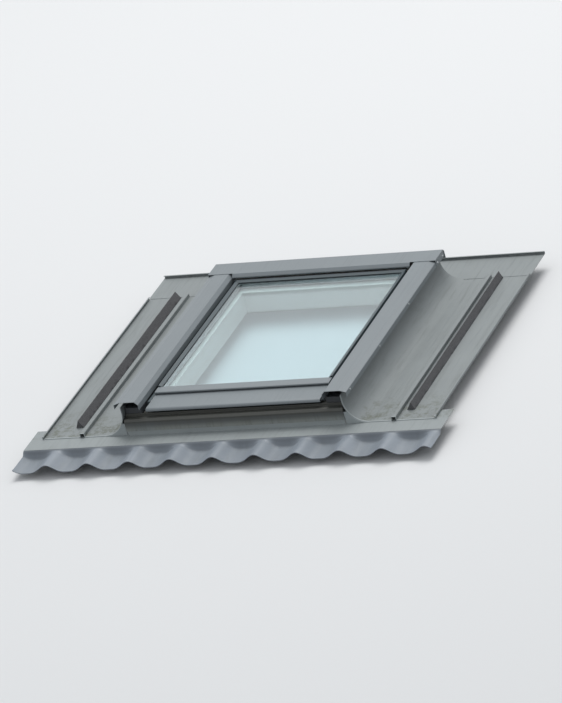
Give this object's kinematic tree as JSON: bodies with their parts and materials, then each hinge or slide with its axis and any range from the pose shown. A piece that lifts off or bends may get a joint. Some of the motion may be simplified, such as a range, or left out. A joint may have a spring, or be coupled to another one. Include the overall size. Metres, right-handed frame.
{
  "type": "roof skylight",
  "caption": "Centre-pivot roof window with folded metal covers, double glazing and a flashing kit with waved apron.",
  "frame": {"origin": "centre of the four brackets' screw pattern, in the plane of the battens that the brackets lie on", "axes": "+X along the eave to the right seen from outside, +Y up the roof slope, +Z out of the roof"},
  "size_m": [1.496, 1.3205, 0.1685],
  "materials": {
    "frame_timber": "white lacquered pine",
    "sash_timber": "white lacquered pine",
    "cover_lacquer": "satin grey lacquer",
    "carrier_lacquer": "dark matt lacquer",
    "flashing_lacquer": "satin grey lacquer, weathered",
    "apron_sheet": "pliable sheet with a matt grey coat",
    "foam": "open foam",
    "zinc_steel": "zinc plated",
    "disc_plastic": "plain",
    "clip_plastic": "plain",
    "seal_rubber": "matt black",
    "glass": "clear float glass",
    "spacer_metal": "mill finish",
    "handle_metal": "satin anodised",
    "flap_metal": "white lacquer"
  },
  "bodies": {
    "frame": {"bolt_bush": "zinc_steel", "bracket_lower_left": "zinc_steel", "bracket_lower_right": "zinc_steel", "bracket_screws": "zinc_steel", "bracket_upper_left": "zinc_steel", "bracket_upper_right": "zinc_steel", "cover_clips": "clip_plastic", "flashing_apron": "apron_sheet", "flashing_head": "flashing_lacquer", "flashing_head_left": "flashing_lacquer", "flashing_head_right": "flashing_lacquer", "flashing_left": "flashing_lacquer", "flashing_right": "flashing_lacquer", "flashing_sill": "flashing_lacquer", "foam_strips": "foam", "frame_head": "frame_timber", "frame_hinge_left": "zinc_steel", "frame_hinge_right": "zinc_steel", "frame_left_stile": "frame_timber", "frame_right_stile": "frame_timber", "frame_screws": "zinc_steel", "frame_seal_head": "seal_rubber", "frame_seal_sill": "seal_rubber", "frame_seals_side": "seal_rubber", "frame_sill": "frame_timber", "head_hood": "cover_lacquer", "side_carrier_left": "carrier_lacquer", "side_carrier_right": "carrier_lacquer", "side_cover_left": "cover_lacquer", "side_cover_right": "cover_lacquer", "sill_cover": "cover_lacquer", "striker": "zinc_steel"},
    "sash": {"sash_bottom_cover": "cover_lacquer", "sash_bottom_rail": "sash_timber", "sash_hinge_left": "zinc_steel", "sash_hinge_right": "zinc_steel", "sash_hinge_screws": "zinc_steel", "sash_side_cover_left": "cover_lacquer", "sash_side_cover_right": "cover_lacquer", "sash_stile_left": "sash_timber", "sash_stile_right": "sash_timber", "sash_top_cover": "cover_lacquer", "sash_top_rail": "sash_timber", "inner_pane": "glass", "outer_pane": "glass", "spacer_bar": "spacer_metal", "edge_seal": "seal_rubber", "glazing_tape": "seal_rubber", "glazing_gasket": "seal_rubber", "setting_blocks": "clip_plastic", "glazing_ledge": "cover_lacquer", "friction_discs": "disc_plastic", "lock_case": "zinc_steel", "handle_rose": "handle_metal", "vent_hinges": "zinc_steel", "bolt_block": "zinc_steel"},
    "handle": {"handle": "handle_metal"},
    "lock_tongue": {"lock_tongue": "zinc_steel"},
    "vent_flap": {"vent_flap": "flap_metal"},
    "safety_bolt": {"safety_bolt": "zinc_steel"}
  },
  "joints": [
    {"name": "sash_pivot", "type": "hinge", "parent": "frame", "child": "sash", "pos_m": [0, 0, 0.046], "axis": [-1, 0, 0], "range_deg": [0, 155]},
    {"name": "handle_turn", "type": "hinge", "parent": "sash", "child": "handle", "pos_m": [0, -0.388, 0], "axis": [0, 0, 1], "range_deg": [0, 90]},
    {"name": "tongue_slide", "type": "slide", "parent": "sash", "child": "lock_tongue", "axis": [0, -1, 0], "range_m": [0, 0.014]},
    {"name": "vent_flap_tilt", "type": "hinge", "parent": "sash", "child": "vent_flap", "pos_m": [0, 0.396, 0.006], "axis": [-1, 0, 0], "range_deg": [0, 40]},
    {"name": "safety_bolt_slide", "type": "slide", "parent": "sash", "child": "safety_bolt", "axis": [1, 0, 0], "range_m": [0, 0.02]}
  ],
  "couplings": [
    {"joint": "tongue_slide", "follows": "handle_turn", "m_per_rad": 0.0089126}
  ]
}
